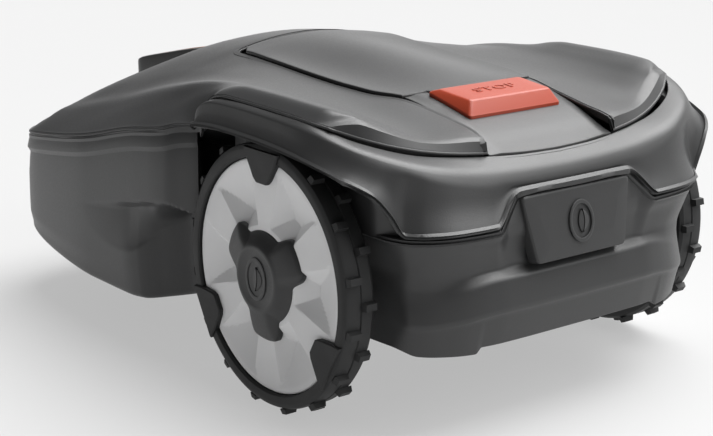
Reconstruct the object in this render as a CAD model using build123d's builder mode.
"""Robotic lawn mower: floating body, sealed chassis, two driven rear wheels, two castors and a disc cutter.

Frame: +X towards the nose, +Y to the left, +Z up, origin on the ground at the middle of the plan.
"""
import os
from math import cos, radians, sin

from build123d import *

os.makedirs("parts", exist_ok=True)

# ---------------------------------------------------------------- driving dimensions (mm)
body_length = 568.0
body_width = 380.0
body_height = 243.0
shell_wall = 3.0
panel_gap = 1.2
shell_shift = 6.0
shell_sway = 3.0

rear_overhang = 141.0
wheel_diameter = 206.0
wheel_inset = 8.0
tyre_width = 27.0
rim_diameter = 176.0
axle_radius = 6.0
running_clearance = 0.05
part_gap = 0.3

castor_setback = 100.0
castor_half_track = 100.0
castor_diameter = 74.0
castor_width = 18.0
castor_trail = 28.0

cutter_forward = 159.0
cutter_disc_diameter = 178.0
blade_pivot_radius = 80.0
blade_length = 36.0
cut_height_low = 23.0
cut_height_travel = 30.0

chassis_wall = 3.0
chassis_half_width = 128.0
chassis_floor = 66.0
chassis_rim = 130.0
gasket_thickness = 1.5

# ---------------------------------------------------------------- places worked out from them
tail_x = -body_length / 2
nose_x = body_length / 2
half_width = body_width / 2
axle_x = tail_x + rear_overhang
axle_z = wheel_diameter / 2
wheel_face = half_width - wheel_inset
wheel_back = wheel_face - tyre_width
castor_x = nose_x - castor_setback
cutter_x = axle_x + cutter_forward
waist = wheel_back - 5.0
ring_side = half_width - 1.0
seam_side = half_width - 19.0
seam_tail = tail_x + 44.0
ring_front = axle_x + wheel_diameter / 2 + 13.0
facet_back = cutter_x - 14.0
facet_front = cutter_x + 16.0
parting_tail = 152.0
arch_height = wheel_diameter - 1.0
hood_top = body_height

hatch_front = nose_x - 223.0
hatch_back = tail_x + 129.0
hatch_half = 66.0
stop_back = tail_x + 46.0
stop_half = 60.0
button_back = tail_x + 72.0
button_front = tail_x + 118.0
button_half = 46.0
beak_back = nose_x - 155.0
beak_front = nose_x - 18.0
beak_half = 46.0

skirt_tail_z = 58.0
skirt_side_z = 42.0
skirt_nose_z = 58.0

# Crowned top: share of the length from the tail, then how far the crown, ridge and edge lie below the top.
crown_half = 60.0
ridge_half = 157.0
hood_stations = (
    (-0.02, 55.0, 57.0, 61.0),
    (0.045, 45.0, 47.0, 53.0),
    (0.085, 30.0, 27.0, 31.0),
    (0.14, 24.0, 12.0, 16.0),
    (0.225, 15.0, 11.0, 15.0),
    (0.31, 8.5, 10.0, 15.0),
    (0.37, 5.0, 10.0, 17.0),
    (0.46, 1.0, 14.0, 29.0),
    (0.56, 0.0, 34.0, 55.0),
    (0.67, 10.0, 52.0, 73.0),
    (0.79, 32.0, 70.0, 91.0),
    (0.91, 57.0, 88.0, 109.0),
    (1.02, 85.0, 105.0, 123.0),
)


def station_x(share):
    """Distance along the body for a share of its length."""
    return tail_x + share * body_length


def crown_z(x):
    """Height of the crown above the ground at x."""
    stations = [(station_x(share), hood_top - crown) for share, crown, _, _ in hood_stations]
    for (x0, z0), (x1, z1) in zip(stations, stations[1:]):
        if x0 <= x <= x1:
            return z0 + (z1 - z0) * (x - x0) / (x1 - x0)
    return stations[-1][1]


def outer_form(inset):
    """Solid under the crowned top, inside the plan outline, taken in by inset all round."""
    side = half_width - inset
    tail_corner, side_corner, nose_corner, nose_middle = 75.0, 300.0, 80.0, 400.0
    with BuildPart() as form:
        with BuildSketch():
            with BuildLine():
                FilletPolyline(
                    (tail_x + inset, -ring_side + inset),
                    (tail_x + inset, ring_side - inset),
                    (station_x(0.69), side),
                    (nose_x - 22.0 - inset, side - 12.0),
                    (nose_x - inset, 0.0),
                    (nose_x - 22.0 - inset, -side + 12.0),
                    (station_x(0.69), -side),
                    radius=[
                        tail_corner - inset, tail_corner - inset, side_corner, nose_corner - inset,
                        nose_middle, nose_corner - inset, side_corner,
                    ],
                    close=True,
                )
            make_face()
        extrude(amount=body_height + 5.0)
        for share, crown, ridge, edge in hood_stations:
            top = hood_top - inset
            with BuildSketch(Plane.YZ.offset(station_x(share))):
                Polygon(
                    (-half_width - 5.0, -5.0),
                    (half_width + 5.0, -5.0),
                    (half_width + 5.0, top - edge),
                    (ridge_half, top - ridge),
                    (crown_half, top - crown),
                    (-crown_half, top - crown),
                    (-ridge_half, top - ridge),
                    (-half_width - 5.0, top - edge),
                    align=None,
                )
        loft(mode=Mode.INTERSECT)
    return form.part


def shell_between(outer, inner):
    """Wall between two nested forms."""
    with BuildPart() as wall:
        add(outer)
        add(inner, mode=Mode.SUBTRACT)
    return wall.part


def side_slab(points):
    """Slab across the whole width with the given outline in side view."""
    with BuildPart() as slab:
        with BuildSketch(Plane.XZ):
            Polygon(*points, align=None)
        extrude(amount=body_width, both=True)
    return slab.part


def plan_block(points, radii, low, high, grow=0.0):
    """Upright block with a rounded outline in plan, mirrored about the centre line."""
    corners = list(points) + [(x, -y) for x, y in reversed(points)]
    with BuildPart() as block:
        with BuildSketch(Plane.XY.offset(low)):
            with BuildLine():
                FilletPolyline(*corners, radius=list(radii) + list(reversed(radii)), close=True)
            make_face()
            if grow:
                offset(amount=grow)
        extrude(amount=high - low)
    return block.part


def finish(builder, name):
    """Labels a piece and writes its file."""
    builder.part.label = name
    export_step(builder.part, f"parts/{name}.step")


# ---------------------------------------------------------------- floating body
body_outer = outer_form(0.0)
body_shell = shell_between(body_outer, outer_form(shell_wall))

parting_line = (
    (ring_front, arch_height - 9.0),
    (station_x(0.69), 165.0),
    (station_x(0.885), 147.0),
    (nose_x + 5.0, 138.0),
)
above_parting = side_slab(
    ((tail_x - 5.0, arch_height - 14.0), (ring_front, arch_height - 9.0)) + parting_line[1:]
    + ((nose_x + 5.0, body_height + 20.0), (tail_x - 5.0, body_height + 20.0))
)
cover_plan = (
    (seam_tail, seam_side),
    (ring_front, seam_side),
    (ring_front, half_width + 10.0),
    (nose_x + 10.0, half_width + 10.0),
)
cover_radii = (62.0, 3.0, 3.0, 3.0)
cover_block = plan_block(cover_plan, cover_radii, 0.0, body_height + 10.0)
ring_void = plan_block(cover_plan, cover_radii, 0.0, body_height + 10.0, grow=panel_gap)

hatch_plan = ((hatch_back, hatch_half), (hatch_front, hatch_half))
hatch_radii = (8.0, 8.0)
swing_gap = 4.8
hatch_block = plan_block(hatch_plan, hatch_radii, 150.0, body_height + 10.0)
hatch_hole = plan_block(
    ((hatch_back - panel_gap, hatch_half + panel_gap), (hatch_front + swing_gap, hatch_half + panel_gap)),
    (9.0, 9.0), 150.0, body_height + 10.0,
)
stop_plan = ((stop_back, stop_half), (hatch_back - panel_gap, stop_half + 6.0))
stop_block = plan_block(stop_plan, (8.0, 2.0), 150.0, body_height + 10.0)
stop_hole = plan_block(stop_plan, (8.0, 2.0), 150.0, body_height + 10.0, grow=panel_gap)
button_hole = plan_block(
    ((button_back - 1.0, button_half + 1.0), (button_front + 1.0, button_half - 2.0)),
    (4.0, 4.0), 150.0, body_height + 10.0,
)

hinge_x = hatch_front - 5.0
hinge_z = crown_z(hatch_front) - 6.5
pin_radius = 1.5
lug_y = 44.0
lug_width = 8.0
ear_width = 6.0
ear_radius = 3.0
arm_drop = 5.5
riser_back = hatch_front + swing_gap + 0.8
riser_front = riser_back + 9.0
skin_bite = 0.6

post_places = ((axle_x - 62.0, 104.0), (cutter_x + 60.0, 112.0))
post_spots = [(x, side * y) for x, y in post_places for side in (1, -1)]
post_radius = 5.0
post_head_z = 188.0
post_head_front_z = 178.0

with BuildPart() as top_cover:
    add(body_shell)
    add(above_parting, mode=Mode.INTERSECT)
    add(cover_block, mode=Mode.INTERSECT)
    add(hatch_hole, mode=Mode.SUBTRACT)
    add(stop_hole, mode=Mode.SUBTRACT)
    for side in (1, -1):
        ear_y = side * (lug_y + lug_width / 2 + part_gap + ear_width / 2)
        with BuildSketch(Plane.XZ.offset(-ear_y - ear_width / 2)):
            with Locations((hinge_x, hinge_z)):
                Circle(ear_radius)
            Polygon(
                (hinge_x - ear_radius, hinge_z), (hinge_x + ear_radius, hinge_z),
                (hinge_x + ear_radius, hinge_z - arm_drop), (riser_back, hinge_z - arm_drop),
                (riser_back, crown_z(riser_back) - skin_bite), (riser_front, crown_z(riser_front) - skin_bite),
                (riser_front, hinge_z - arm_drop - ear_radius),
                (hinge_x - ear_radius, hinge_z - arm_drop - ear_radius), align=None)
        extrude(amount=ear_width)
    with BuildSketch(Plane.XZ):
        with Locations((hinge_x, hinge_z)):
            Circle(pin_radius)
    extrude(amount=lug_y * 2, both=True, mode=Mode.SUBTRACT)
    for x, y in post_spots:
        head = post_head_z if x < 0 else post_head_front_z
        with BuildSketch(Plane.XY.offset(head)):
            with Locations((x, y)):
                Circle(9.0)
        extrude(until=Until.NEXT, target=body_shell)
finish(top_cover, "top_cover")

arch_slab = side_slab(
    (
        (tail_x - 5.0, 181.0),
        (axle_x - 80.0, 195.0),
        (axle_x - 45.0, arch_height - 4.0),
        (axle_x + 60.0, arch_height - 2.0),
        (ring_front - panel_gap, arch_height - 4.0),
        (ring_front - panel_gap, body_height + 20.0),
        (tail_x - 5.0, body_height + 20.0),
    )
)
waist_plan = (
    (tail_x + 3.0, waist),
    (facet_back, waist),
    (facet_front, half_width),
    (station_x(0.69), half_width),
    (nose_x - 22.0, half_width - 12.0),
    (nose_x, 0.4),
)
waist_radii = (32.0, 6.0, 12.0, 300.0, 80.0, 1.0)


def waist_block(low, high, inset):
    """Block inside the lower body outline, taken in by inset."""
    return plan_block(waist_plan, waist_radii, low, high, grow=-inset)


ledge_front = axle_x - wheel_diameter / 2 - shell_shift - 3.0
with BuildPart() as fender_ring:
    add(body_shell)
    add(arch_slab, mode=Mode.INTERSECT)
    add(ring_void, mode=Mode.SUBTRACT)
    add(
        shell_between(waist_block(parting_tail + panel_gap, 192.0, 0.0), waist_block(0.0, 200.0, shell_wall)),
    )
    with BuildSketch(Plane.XY.offset(185.0)):
        with Locations((tail_x + 14.0, 0.0)):
            Rectangle(25.0, 2 * waist - 10.0)
    extrude(amount=shell_wall)
    add(side_slab((
        (tail_x - 5.0, parting_tail), (ledge_front, parting_tail), (ledge_front, 196.0),
        (ring_front, 196.0), (ring_front, body_height), (tail_x - 5.0, body_height))), mode=Mode.INTERSECT)
    add(body_outer, mode=Mode.INTERSECT)
finish(fender_ring, "fender_ring")

skirt_bottom = (
    (tail_x - 5.0, skirt_tail_z),
    (axle_x + 60.0, skirt_tail_z - 4.0),
    (facet_front, skirt_side_z),
    (nose_x - 55.0, skirt_side_z),
    (nose_x + 5.0, skirt_nose_z),
)
skirt_tube = shell_between(waist_block(20.0, 230.0, 0.0), waist_block(0.0, 240.0, shell_wall))
slot_half = 14.0 + shell_shift + 3.0
slot_top = axle_z + 19.0

with BuildPart() as front_body:
    add(skirt_tube)
    add(side_slab(
        ((axle_x, skirt_tail_z),) + skirt_bottom[1:]
        + tuple((x, z - panel_gap) for x, z in reversed(parting_line))
        + ((ring_front, arch_height - 14.0), (axle_x, arch_height - 14.0))), mode=Mode.INTERSECT)
    add(side_slab(
        ((axle_x - slot_half, 0.0), (axle_x + slot_half, 0.0), (axle_x + slot_half, slot_top),
         (axle_x - slot_half, slot_top))), mode=Mode.SUBTRACT)
finish(front_body, "front_body")

with BuildPart() as rear_bumper:
    add(skirt_tube)
    add(side_slab(
        (skirt_bottom[0], (axle_x, skirt_tail_z), (axle_x, arch_height - 14.0),
         (ledge_front + 3.0, arch_height - 14.0), (ledge_front + 3.0, parting_tail),
         (tail_x - 5.0, parting_tail))), mode=Mode.INTERSECT)
    add(side_slab(
        ((axle_x - slot_half, 0.0), (axle_x + slot_half, 0.0), (axle_x + slot_half, slot_top),
         (axle_x - slot_half, slot_top))), mode=Mode.SUBTRACT)
finish(rear_bumper, "rear_bumper")

badge_top_half = 53.0
badge_bottom_half = 44.0
with BuildPart() as rear_badge:
    with BuildSketch(Plane.YZ.offset(tail_x)):
        Polygon(
            (-badge_top_half, 151.0), (badge_top_half, 151.0),
            (badge_bottom_half, 122.0), (-badge_bottom_half, 122.0), align=None)
    extrude(amount=3.0)
    fillet(rear_badge.edges().filter_by(Axis.X), radius=4.0)
finish(rear_badge, "rear_badge")

with BuildPart() as stop_panel:
    add(body_shell)
    add(stop_block, mode=Mode.INTERSECT)
    add(button_hole, mode=Mode.SUBTRACT)
    for x in (button_back - 8.0, button_front + 6.0):
        with BuildSketch(Plane.XY.offset(200.0)):
            with Locations((x, 0.0)):
                Rectangle(5.0, 60.0)
        extrude(until=Until.NEXT, target=body_shell)
finish(stop_panel, "stop_panel")

stop_travel = 4.0
with BuildPart() as stop_button:
    with BuildSketch(Plane.XY.offset(206.0)):
        with BuildLine():
            FilletPolyline(
                (button_back, -button_half), (button_back, button_half),
                (button_front, button_half - 3.0), (button_front, -button_half + 3.0),
                radius=3.0, close=True)
        make_face()
    extrude(amount=24.0)
    add(side_slab((
        (button_back - 1.0, 150.0), (button_back - 1.0, crown_z(button_back) + 4.0),
        (button_back + 12.0, crown_z(button_back) + 11.0), (button_front + 1.0, crown_z(button_front) + 2.0),
        (button_front + 1.0, 150.0))), mode=Mode.INTERSECT)
finish(stop_button, "stop_button")

with BuildPart() as hatch:
    add(body_shell)
    add(hatch_block, mode=Mode.INTERSECT)
    for side in (1, -1):
        with BuildSketch(Plane.XZ.offset(-side * lug_y - lug_width / 2)):
            with Locations((hinge_x, hinge_z)):
                Circle(3.8)
            with Locations((hinge_x, hinge_z + 2.5)):
                Rectangle(6.0, 5.0)
        extrude(amount=lug_width)
    with BuildSketch(Plane.XZ):
        with Locations((hinge_x, hinge_z)):
            Circle(pin_radius + running_clearance)
    extrude(amount=lug_y * 2, both=True, mode=Mode.SUBTRACT)
finish(hatch, "hatch")

with BuildPart() as hatch_pin:
    with BuildSketch(Plane.XZ):
        with Locations((hinge_x, hinge_z)):
            Circle(pin_radius)
    extrude(amount=lug_y + lug_width / 2 + part_gap + ear_width, both=True)
finish(hatch_pin, "hatch_pin")

beak_rise = 20.0
with BuildPart() as contact_block:
    with BuildSketch(Plane.XY.offset(100.0)):
        with BuildLine():
            FilletPolyline(
                (beak_back, -beak_half + 8.0), (beak_back, beak_half - 8.0),
                (beak_front, beak_half), (beak_front, -beak_half), radius=6.0, close=True)
        make_face()
    extrude(amount=body_height)
    add(side_slab((
        (beak_back - 1.0, 100.0), (beak_back - 1.0, crown_z(beak_back) + 3.0),
        (beak_front + 1.0, crown_z(beak_front) + beak_rise), (beak_front + 1.0, 100.0))), mode=Mode.INTERSECT)
    add(body_outer, mode=Mode.SUBTRACT)
finish(contact_block, "contact_block")

strip_width = 7.0
with BuildPart() as contact_strips:
    for side in (1, -1):
        with BuildSketch(Plane.XZ.offset(-side * (beak_half - 14.0))):
            Polygon(
                (beak_back + 40.0, crown_z(beak_back + 40.0) + 8.6),
                (beak_front - 4.0, crown_z(beak_front) + beak_rise + 0.8),
                (beak_front - 4.0, crown_z(beak_front) + beak_rise + 2.3),
                (beak_back + 40.0, crown_z(beak_back + 40.0) + 10.1), align=None)
        extrude(amount=strip_width / 2, both=True)
    add(contact_block.part, mode=Mode.SUBTRACT)
finish(contact_strips, "contact_strips")

# ---------------------------------------------------------------- body suspension
deck_high = 172.0
deck_low = 146.0


with BuildPart() as suspension_bushes:
    for x, y in post_spots:
        with BuildSketch(Plane.XY.offset(deck_high + part_gap)):
            with Locations((x, y)):
                Circle(10.0)
        extrude(amount=2.4)
finish(suspension_bushes, "suspension_bushes")

with BuildPart() as suspension_posts:
    for x, y in post_spots:
        top = (post_head_z if x < 0 else post_head_front_z) - part_gap
        with BuildSketch(Plane.XY.offset(deck_high + 2.4 + 2 * part_gap)):
            with Locations((x, y)):
                Circle(post_radius)
        extrude(amount=top - deck_high - 2.4 - 2 * part_gap)
finish(suspension_posts, "suspension_posts")

# ---------------------------------------------------------------- chassis
deep_end = castor_x - castor_trail - castor_diameter / 2 - 5.0
chassis_tail = tail_x + 24.0
chassis_nose = nose_x - 42.0
shallow_floor = castor_diameter + 12.0
sleeve_inner = 36.0
motor_nose_radius = 20.0
battery_x = chassis_tail + 42.0
battery_size = (62.0, 118.0, 44.0)
board_size = (92.0, 124.0)
board_x = (deep_end + chassis_nose) / 2
board_z = 108.0

tub_plan = (
    (chassis_tail, chassis_half_width),
    (ring_front, chassis_half_width),
    (ring_front + 30.0, chassis_half_width + 12.0),
    (deep_end, chassis_half_width + 12.0),
    (chassis_nose, castor_half_track + 10.0),
)
tub_radii = (18.0, 10.0, 10.0, 10.0, 24.0)


def tub_block(low, high, inset=0.0):
    """Block inside the chassis outline."""
    return plan_block(tub_plan, tub_radii, low, high, grow=-inset)


def deep_zone(low, high, inset=0.0):
    """Part of the chassis length that holds the motors and battery."""
    return side_slab((
        (chassis_tail - 5.0, low), (deep_end - inset, low), (deep_end - inset, high), (chassis_tail - 5.0, high)))


with BuildPart() as tub_outer:
    add(tub_block(chassis_floor, shallow_floor))
    add(deep_zone(chassis_floor - 1.0, shallow_floor + 1.0), mode=Mode.INTERSECT)
    add(tub_block(shallow_floor, chassis_rim))
with BuildPart() as tub_inner:
    add(tub_block(chassis_floor + chassis_wall, shallow_floor + chassis_wall, chassis_wall))
    add(deep_zone(chassis_floor, shallow_floor + chassis_wall, chassis_wall), mode=Mode.INTERSECT)
    add(tub_block(shallow_floor + chassis_wall, chassis_rim + 1.0, chassis_wall))

with BuildPart() as lower_chassis:
    add(tub_outer.part)
    add(tub_inner.part, mode=Mode.SUBTRACT)
    with BuildSketch(Plane.XY.offset(chassis_floor)):
        with Locations((cutter_x, 0.0)):
            Circle(sleeve_inner + chassis_wall)
    extrude(amount=chassis_rim - chassis_floor - 4.0)
    for side in (1, -1):
        with BuildSketch(Plane.XY.offset(shallow_floor)):
            with Locations((castor_x, side * castor_half_track)):
                Circle(12.0)
        extrude(amount=38.0)
        with BuildSketch(Plane.XY.offset(shallow_floor - 1.0)):
            with Locations((castor_x, side * castor_half_track)):
                Circle(axle_radius + running_clearance)
        extrude(amount=38.0, mode=Mode.SUBTRACT)
    with BuildSketch(Plane.XY.offset(shallow_floor)):
        with Locations((board_x, 0.0)):
            with GridLocations(board_size[0] - 10.0, board_size[1] - 10.0, 2, 2):
                Circle(3.0)
    extrude(amount=board_z - shallow_floor)
    with BuildSketch(Plane.XY.offset(chassis_floor - 1.0)):
        with Locations((cutter_x, 0.0)):
            Circle(sleeve_inner)
        with Locations((battery_x, 0.0)):
            RectangleRounded(battery_size[0] + 6.0, battery_size[1] + 6.0, 4.0)
    extrude(amount=chassis_rim, mode=Mode.SUBTRACT)
    with BuildSketch(Plane.XZ):
        with Locations((axle_x, axle_z)):
            Circle(motor_nose_radius + part_gap)
    extrude(amount=half_width, both=True, mode=Mode.SUBTRACT)
finish(lower_chassis, "lower_chassis")

with BuildPart() as chassis_gasket:
    add(tub_block(chassis_rim, chassis_rim + gasket_thickness, 0.4))
    add(tub_block(chassis_rim - 1.0, chassis_rim + gasket_thickness + 1.0, chassis_wall - 0.4), mode=Mode.SUBTRACT)
finish(chassis_gasket, "chassis_gasket")

lid_base = chassis_rim + gasket_thickness
console_back = hatch_back + 18.0
console_front = hatch_front - 18.0
console_half = 54.0
console_top = 206.0
screw_spots = [
    (x, side * y)
    for x, y in (
        (chassis_tail + 20.0, chassis_half_width - 14.0), (axle_x + 64.0, chassis_half_width - 9.0),
        (cutter_x + 44.0, chassis_half_width + 2.0), (chassis_nose - 16.0, 40.0),
    )
    for side in (1, -1)
]
screw_radius = 2.0
deck_x_low = deep_end - 2.0


def deck_z(x):
    """Height of the sealed deck above a chassis screw."""
    return deck_high if x < deck_x_low else deck_low


spindle_radius = 8.0
key_names = ("power_key", "start_key", "home_key", "timer_key", "ok_key")
key_radius = 7.0
key_travel = 1.5
key_rise = 3.0
key_spots = [
    (console_back + 22.0, -34.0 + 17.0 * index) for index in range(len(key_names))
]
display_x = console_back + 62.0
display_size = (36.0, 62.0)
deck_plate = 3.0

with BuildPart() as lid_void:
    add(tub_block(lid_base, deck_high - chassis_wall, chassis_wall))
    add(deep_zone(lid_base - 1.0, deck_high, 20.0 + 2 * chassis_wall), mode=Mode.INTERSECT)

with BuildPart() as upper_chassis:
    add(tub_block(lid_base, deck_high))
    add(side_slab((
        (chassis_tail - 5.0, lid_base - 1.0), (nose_x, lid_base - 1.0), (nose_x, deck_low),
        (deck_x_low, deck_low), (deck_x_low - 20.0, deck_high), (chassis_tail - 5.0, deck_high))),
        mode=Mode.INTERSECT)
    with BuildSketch(Plane.XY.offset(deck_high)):
        with Locations(((console_back + console_front) / 2, 0.0)):
            RectangleRounded(console_front - console_back, 2 * console_half, 10.0)
    extrude(amount=console_top - deck_high)
    add(tub_block(lid_base - 1.0, deck_low - chassis_wall, chassis_wall), mode=Mode.SUBTRACT)
    add(lid_void.part, mode=Mode.SUBTRACT)
    with BuildSketch(Plane.XY.offset(deck_high - chassis_wall - 1.0)):
        with Locations(((console_back + console_front) / 2, 0.0)):
            RectangleRounded(
                console_front - console_back - 2 * chassis_wall, 2 * console_half - 2 * chassis_wall, 8.0)
    extrude(amount=console_top, mode=Mode.SUBTRACT)
finish(upper_chassis, "upper_chassis")

with BuildPart() as chassis_screws:
    for x, y in screw_spots:
        with BuildSketch(Plane.XY.offset(deck_z(x))):
            with Locations((x, y)):
                Circle(2 * screw_radius)
                RegularPolygon(screw_radius, 6, mode=Mode.SUBTRACT)
        extrude(amount=2.4)
finish(chassis_screws, "chassis_screws")

with BuildPart() as battery_pack:
    with BuildSketch(Plane.XY.offset(chassis_floor + 0.5)):
        with Locations((battery_x, 0.0)):
            RectangleRounded(battery_size[0], battery_size[1], 6.0)
    extrude(amount=battery_size[2])
    chamfer(battery_pack.faces().sort_by(Axis.Z)[-1].edges(), length=3.0)
finish(battery_pack, "battery_pack")

cover_thickness = 3.0
head_recess = 1.8
head_thickness = 1.6
cover_spots = [(battery_x + sx * 36.0, sy * 56.0) for sx in (1, -1) for sy in (1, -1)]
with BuildPart() as battery_cover:
    with BuildSketch(Plane.XY.offset(chassis_floor - cover_thickness)):
        with Locations((battery_x, 0.0)):
            RectangleRounded(battery_size[0] + 22.0, battery_size[1] + 20.0, 8.0)
        with Locations(*cover_spots):
            Circle(screw_radius, mode=Mode.SUBTRACT)
    extrude(amount=cover_thickness)
    with BuildSketch(Plane.XY.offset(chassis_floor - cover_thickness)):
        with Locations(*cover_spots):
            Circle(2 * screw_radius)
    extrude(amount=head_recess, mode=Mode.SUBTRACT)
finish(battery_cover, "battery_cover")

with BuildPart() as battery_cover_screws:
    with BuildSketch(Plane.XY.offset(chassis_floor - cover_thickness + head_recess)):
        with Locations(*cover_spots):
            Circle(screw_radius)
    extrude(amount=cover_thickness - head_recess)
    with BuildSketch(Plane.XY.offset(chassis_floor - cover_thickness + head_recess)):
        with Locations(*cover_spots):
            Circle(2 * screw_radius)
    extrude(amount=-head_thickness)
finish(battery_cover_screws, "battery_cover_screws")

with BuildPart() as main_board:
    with BuildSketch(Plane.XY.offset(board_z)):
        with Locations((board_x, 0.0)):
            Rectangle(*board_size)
    extrude(amount=1.6)
    with BuildSketch(Plane.XY.offset(board_z + 1.6)):
        with Locations((board_x, 0.0)):
            with GridLocations(34.0, 42.0, 2, 3):
                Rectangle(18.0, 22.0)
    extrude(amount=4.0)
finish(main_board, "main_board")

with BuildPart() as control_console:
    with BuildSketch(Plane.XY.offset(console_top)):
        with Locations(((console_back + console_front) / 2, 0.0)):
            RectangleRounded(console_front - console_back, 2 * console_half, 10.0)
        with Locations(*key_spots):
            Circle(key_radius + part_gap, mode=Mode.SUBTRACT)
        with Locations((display_x, 0.0)):
            RectangleRounded(display_size[0], display_size[1], 3.0, mode=Mode.SUBTRACT)
        with Locations((cutter_x, 0.0)):
            Circle(spindle_radius + running_clearance, mode=Mode.SUBTRACT)
    extrude(amount=deck_plate)
finish(control_console, "control_console")

with BuildPart() as display_window:
    with BuildSketch(Plane.XY.offset(console_top + 0.5)):
        with Locations((display_x, 0.0)):
            RectangleRounded(display_size[0], display_size[1], 3.0)
    extrude(amount=deck_plate)
finish(display_window, "display_window")

with BuildPart() as keypad_board:
    with BuildSketch(Plane.XY.offset(console_top - 8.0)):
        with Locations((console_back + 48.0, 0.0)):
            Rectangle(80.0, 96.0)
    extrude(amount=1.6)
finish(keypad_board, "keypad_board")

for name, spot in zip(key_names, key_spots):
    with BuildPart() as key:
        with BuildSketch(Plane.XY.offset(console_top - 1.0)):
            with Locations(spot):
                Circle(key_radius)
        extrude(amount=deck_plate + 1.0 + key_rise)
        fillet(key.faces().sort_by(Axis.Z)[-1].edges(), radius=1.0)
    finish(key, name)

knob_radius = 27.0
knob_height = 13.0
knob_base = console_top + deck_plate + part_gap
with BuildPart() as height_knob:
    with BuildSketch(Plane.XY.offset(knob_base)):
        with Locations((cutter_x, 0.0)):
            Circle(knob_radius)
            with PolarLocations(knob_radius + 2.0, 12):
                Circle(4.0, mode=Mode.SUBTRACT)
    extrude(amount=knob_height)
    with BuildSketch(Plane.XY.offset(knob_base + knob_height)):
        with Locations((cutter_x, 0.0)):
            Rectangle(2 * knob_radius - 14.0, 9.0)
    extrude(amount=6.0)
finish(height_knob, "height_knob")

carrier_low = 80.0
carrier_radius = 33.0
motor_radius = 28.0
motor_height = 38.0
carrier_deck = carrier_low + chassis_wall + motor_height + 1.0
carrier_top = carrier_deck + chassis_wall
tube_top = 172.0
spindle_low = tube_top - 10.0
with BuildPart() as height_spindle:
    with BuildSketch(Plane.XY.offset(spindle_low)):
        with Locations((cutter_x, 0.0)):
            Circle(spindle_radius)
    extrude(amount=knob_base - spindle_low)
finish(height_spindle, "height_spindle")

# ---------------------------------------------------------------- cutting unit
shaft_radius = 4.0
disc_bottom = cut_height_low + 2.0
disc_thickness = 3.0
skid_bottom = 13.0
skid_radius = 60.0
with BuildPart() as motor_carrier:
    with BuildSketch(Plane.XY.offset(carrier_low)):
        with Locations((cutter_x, 0.0)):
            Circle(carrier_radius)
    extrude(amount=carrier_top - carrier_low)
    with BuildSketch(Plane.XY.offset(carrier_top)):
        with Locations((cutter_x, 0.0)):
            Circle(spindle_radius + 5.0)
    extrude(amount=tube_top - carrier_top)
    with BuildSketch(Plane.XY.offset(carrier_low + chassis_wall)):
        with Locations((cutter_x, 0.0)):
            Circle(motor_radius)
    extrude(amount=motor_height, mode=Mode.SUBTRACT)
    with BuildSketch(Plane.XY.offset(carrier_low - 1.0)):
        with Locations((cutter_x, 0.0)):
            Circle(shaft_radius + 1.0)
    extrude(amount=10.0, mode=Mode.SUBTRACT)
    with BuildSketch(Plane.XY.offset(tube_top)):
        with Locations((cutter_x, 0.0)):
            Circle(spindle_radius + running_clearance)
    extrude(amount=-(cut_height_travel + 14.0), mode=Mode.SUBTRACT)
finish(motor_carrier, "motor_carrier")

with BuildPart() as blade_motor:
    with BuildSketch(Plane.XY.offset(carrier_low + chassis_wall)):
        with Locations((cutter_x, 0.0)):
            Circle(motor_radius)
            Circle(shaft_radius + running_clearance, mode=Mode.SUBTRACT)
    extrude(amount=motor_height)
finish(blade_motor, "blade_motor")

with BuildPart() as motor_shaft:
    with BuildSketch(Plane.XY.offset(skid_bottom + 2.0)):
        with Locations((cutter_x, 0.0)):
            Circle(shaft_radius)
    extrude(amount=carrier_low + chassis_wall + 30.0 - skid_bottom - 2.0)
finish(motor_shaft, "motor_shaft")

blade_angles = (90.0, 210.0, 330.0)
blade_spots = [
    (cutter_x + blade_pivot_radius * cos(radians(angle)), blade_pivot_radius * sin(radians(angle)))
    for angle in blade_angles
]
blade_pin_radius = 3.0
with BuildPart() as cutter_disc:
    with BuildSketch(Plane.XY.offset(disc_bottom)):
        with Locations((cutter_x, 0.0)):
            Circle(cutter_disc_diameter / 2)
            Circle(shaft_radius, mode=Mode.SUBTRACT)
            with PolarLocations(46.0, 6):
                Circle(9.0, mode=Mode.SUBTRACT)
        with Locations(*blade_spots):
            Circle(blade_pin_radius, mode=Mode.SUBTRACT)
    extrude(amount=disc_thickness)
    with BuildSketch(Plane.XY.offset(disc_bottom + disc_thickness)):
        with Locations((cutter_x, 0.0)):
            Circle(14.0)
            Circle(shaft_radius, mode=Mode.SUBTRACT)
    extrude(amount=12.0)
finish(cutter_disc, "cutter_disc")

blade_gap = 0.7
blade_thickness = 1.0
blade_head = 2.0
with BuildPart() as blade_screws:
    with BuildSketch(Plane.XY.offset(disc_bottom + disc_thickness)):
        with Locations(*blade_spots):
            Circle(blade_pin_radius)
    extrude(amount=-(disc_thickness + 2 * blade_gap + blade_thickness))
    with BuildSketch(Plane.XY.offset(disc_bottom - 2 * blade_gap - blade_thickness)):
        with Locations(*blade_spots):
            Circle(5.0)
    extrude(amount=-blade_head)
finish(blade_screws, "blade_screws")

blade_width = 18.0
blade_heel = 7.0
for index, angle in enumerate(blade_angles):
    pivot = blade_spots[index]
    blade_plane = Plane(
        origin=(pivot[0], pivot[1], disc_bottom - blade_gap - blade_thickness),
        x_dir=(cos(radians(angle)), sin(radians(angle)), 0.0),
        z_dir=(0.0, 0.0, 1.0),
    )
    with BuildPart() as blade:
        with BuildSketch(blade_plane):
            with Locations((blade_length / 2 - blade_heel, 0.0)):
                RectangleRounded(blade_length, blade_width, 1.5)
            Circle(blade_pin_radius + running_clearance, mode=Mode.SUBTRACT)
        extrude(amount=blade_thickness)
    finish(blade, f"blade_{index + 1}")

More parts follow.
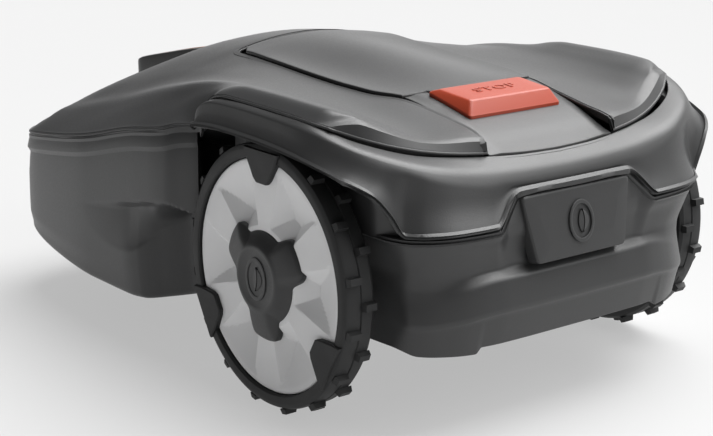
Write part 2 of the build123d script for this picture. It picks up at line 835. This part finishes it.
bearing_radius = 8.0
with BuildPart() as skid_bearing:
    with BuildSketch(Plane.XY.offset(skid_bottom + 3.0)):
        with Locations((cutter_x, 0.0)):
            Circle(bearing_radius)
            Circle(shaft_radius, mode=Mode.SUBTRACT)
    extrude(amount=disc_bottom - skid_bottom - 3.0)
finish(skid_bearing, "skid_bearing")

with BuildPart() as skid_plate:
    with BuildSketch(Plane.XY.offset(skid_bottom)):
        with Locations((cutter_x, 0.0)):
            Circle(skid_radius)
    extrude(amount=3.0)
    chamfer(skid_plate.faces().sort_by(Axis.Z)[0].edges(), length=1.5)
    with BuildSketch(Plane.XY.offset(skid_bottom + 3.0)):
        with Locations((cutter_x, 0.0)):
            Circle(bearing_radius + 3.0)
    extrude(amount=5.0)
    with BuildSketch(Plane.XY.offset(skid_bottom + 2.6)):
        with Locations((cutter_x, 0.0)):
            Circle(bearing_radius + running_clearance)
    extrude(amount=6.0, mode=Mode.SUBTRACT)
    with BuildSketch(Plane.XY.offset(skid_bottom + 1.5)):
        with Locations((cutter_x, 0.0)):
            Circle(shaft_radius + 0.5)
    extrude(amount=6.0, mode=Mode.SUBTRACT)
finish(skid_plate, "skid_plate")

# ---------------------------------------------------------------- rear wheels
rim_radius = rim_diameter / 2
lug_height = 4.0
shoulder_radius = wheel_diameter / 2 - lug_height
lug_count = 16
lug_length = 9.0
hub_radius = 14.0
motor_face = chassis_half_width - 2.0
nose_end = chassis_half_width + 5.0
disc_face = wheel_face - 4.0
web_back = wheel_back + 10.0
web_front = web_back + 5.0
spoke_front = disc_face - 2.0
axle_end = disc_face - 9.0


def wheel_plane(side, out):
    """Plane square to the rear axle at a distance from the centre line, facing outwards."""
    return Plane(origin=(axle_x, side * out, axle_z), x_dir=(-side, 0, 0), z_dir=(0, side, 0))


for side, hand in ((1, "left"), (-1, "right")):
    with BuildPart() as gear_motor:
        with BuildSketch(wheel_plane(side, 38.0)):
            Circle(20.0)
        extrude(amount=60.0)
        with BuildSketch(wheel_plane(side, 96.0)):
            Circle(33.0)
        extrude(amount=motor_face - 1.0 - 96.0)
        with BuildSketch(wheel_plane(side, motor_face - 1.0)):
            Circle(motor_nose_radius)
        extrude(amount=nose_end - motor_face + 1.0)
        with BuildSketch(wheel_plane(side, 100.0)):
            Circle(axle_radius + running_clearance)
        extrude(amount=nose_end - 100.0 + 1.0, mode=Mode.SUBTRACT)
    finish(gear_motor, f"{hand}_gear_motor")

    with BuildPart() as axle:
        with BuildSketch(wheel_plane(side, 101.0)):
            Circle(axle_radius)
        extrude(amount=axle_end - 101.0)
        with BuildSketch(wheel_plane(side, axle_end)):
            Circle(2.5)
        extrude(amount=-16.0, mode=Mode.SUBTRACT)
    finish(axle, f"{hand}_axle")

    with BuildPart() as wheel_disc:
        with BuildSketch(wheel_plane(side, nose_end + 2.0)):
            Circle(hub_radius)
        extrude(amount=spoke_front - nose_end - 2.0)
        with BuildSketch(wheel_plane(side, web_back)):
            Circle(rim_radius)
        extrude(amount=web_front - web_back)
        with BuildSketch(wheel_plane(side, wheel_back + 4.0)):
            Circle(rim_radius)
            Circle(rim_radius - 9.0, mode=Mode.SUBTRACT)
        extrude(amount=disc_face - wheel_back - 4.0)
        with BuildSketch(wheel_plane(side, web_front)):
            with PolarLocations(rim_radius / 2, 6, start_angle=30.0):
                Rectangle(rim_radius - 6.0, 13.0)
        extrude(amount=spoke_front - web_front)
        with BuildSketch(wheel_plane(side, nose_end)):
            Circle(axle_radius)
        extrude(amount=axle_end - nose_end, mode=Mode.SUBTRACT)
        with BuildSketch(wheel_plane(side, axle_end)):
            Circle(8.0)
        extrude(amount=20.0, mode=Mode.SUBTRACT)
    finish(wheel_disc, f"{hand}_wheel_disc")

    with BuildPart() as tyre:
        with BuildSketch(wheel_plane(side, wheel_back)):
            Circle(shoulder_radius)
            Circle(rim_radius, mode=Mode.SUBTRACT)
        extrude(amount=tyre_width)
        chamfer(tyre.edges().filter_by(GeomType.CIRCLE).sort_by(SortBy.RADIUS)[-2:], length=2.0)
        for row, start in ((2.5, 0.0), (tyre_width / 2 + 1.5, 180.0 / lug_count)):
            with BuildSketch(wheel_plane(side, wheel_back + row)):
                with PolarLocations(shoulder_radius + lug_height / 2 - 1.0, lug_count, start_angle=start):
                    Rectangle(2 * lug_height, lug_length)
                Circle(wheel_diameter / 2, mode=Mode.INTERSECT)
            extrude(amount=tyre_width / 2 - 4.0)
        with BuildSketch(wheel_plane(side, disc_face)):
            with PolarLocations(rim_radius - 8.0, 3, start_angle=90.0):
                Trapezoid(34.0, 20.0, 66.0, rotation=90.0)
            Circle(rim_radius + 3.0, mode=Mode.INTERSECT)
        extrude(amount=2.6)
    finish(tyre, f"{hand}_tyre")

    with BuildPart() as wheel_screw:
        with BuildSketch(wheel_plane(side, axle_end)):
            Circle(7.0)
        extrude(amount=4.5)
        with BuildSketch(wheel_plane(side, axle_end + 4.5)):
            RegularPolygon(3.4, 6)
        extrude(amount=-3.0, mode=Mode.SUBTRACT)
        with BuildSketch(wheel_plane(side, axle_end)):
            Circle(2.5)
        extrude(amount=-15.0)
    finish(wheel_screw, f"{hand}_wheel_screw")

    with BuildPart() as hub_cap:
        with BuildSketch(wheel_plane(side, spoke_front)):
            Circle(30.0)
            with PolarLocations(28.0, 3, start_angle=30.0):
                Circle(10.0)
        extrude(amount=8.0)
        with BuildSketch(wheel_plane(side, spoke_front + 8.0)):
            Circle(21.0)
        extrude(amount=4.0)
        fillet(hub_cap.faces().sort_by(Axis.Y)[-1 if side > 0 else 0].edges(), radius=1.5)
    finish(hub_cap, f"{hand}_hub_cap")

# ---------------------------------------------------------------- front castors
castor_radius = castor_diameter / 2
castor_axle_radius = 4.0
arm_gap = 1.0
arm_thickness = 3.0
arm_inner = castor_width / 2 + arm_gap
crown_low = castor_diameter + 3.0
for side, hand in ((1, "left"), (-1, "right")):
    castor_y = side * castor_half_track
    hub_x = castor_x - castor_trail
    with BuildPart() as castor_fork:
        with BuildSketch(Plane.XZ.offset(-castor_y)):
            Polygon(
                (hub_x - 8.0, castor_radius), (hub_x - 8.0, castor_radius + 8.0),
                (hub_x - 4.0, crown_low + 4.0), (castor_x + 12.0, crown_low + 4.0),
                (castor_x + 12.0, crown_low), (hub_x + 8.0, castor_radius), align=None)
            with Locations((hub_x, castor_radius)):
                Circle(8.0)
        extrude(amount=arm_inner + arm_thickness, both=True)
        with BuildSketch(Plane.XZ.offset(-castor_y)):
            with Locations(((hub_x + castor_x) / 2, crown_low / 2 - 10.0)):
                Rectangle(castor_trail + 70.0, crown_low + 20.0)
        extrude(amount=arm_inner, both=True, mode=Mode.SUBTRACT)
        with BuildSketch(Plane.XY.offset(crown_low)):
            with Locations((castor_x, castor_y)):
                Circle(axle_radius)
        extrude(amount=shallow_floor + 34.0 - crown_low)
        with BuildSketch(Plane.XZ.offset(-castor_y)):
            with Locations((hub_x, castor_radius)):
                Circle(castor_axle_radius)
        extrude(amount=castor_width, both=True, mode=Mode.SUBTRACT)
    finish(castor_fork, f"{hand}_castor_fork")

    with BuildPart() as castor_pin:
        with BuildSketch(Plane.XZ.offset(-castor_y)):
            with Locations((hub_x, castor_radius)):
                Circle(castor_axle_radius)
        extrude(amount=arm_inner + arm_thickness, both=True)
    finish(castor_pin, f"{hand}_castor_pin")

    with BuildPart() as castor_wheel:
        with BuildSketch(Plane.XZ.offset(-castor_y)):
            with Locations((hub_x, castor_radius)):
                Circle(castor_radius)
        extrude(amount=castor_width / 2, both=True)
        chamfer(castor_wheel.edges().filter_by(GeomType.CIRCLE), length=3.0)
        with BuildSketch(Plane.XZ.offset(-castor_y)):
            with Locations((hub_x, castor_radius)):
                Circle(castor_radius - 9.0)
                Circle(castor_axle_radius + 5.0, mode=Mode.SUBTRACT)
        extrude(amount=castor_width, both=True, mode=Mode.SUBTRACT)
        with BuildSketch(Plane.XZ.offset(-castor_y)):
            with Locations((hub_x, castor_radius)):
                Circle(castor_radius - 8.0)
                Circle(castor_axle_radius + running_clearance, mode=Mode.SUBTRACT)
        extrude(amount=3.0, both=True)
        with BuildSketch(Plane.XZ.offset(-castor_y)):
            with Locations((hub_x, castor_radius)):
                Circle(castor_axle_radius + running_clearance)
        extrude(amount=castor_width, both=True, mode=Mode.SUBTRACT)
    finish(castor_wheel, f"{hand}_castor_wheel")
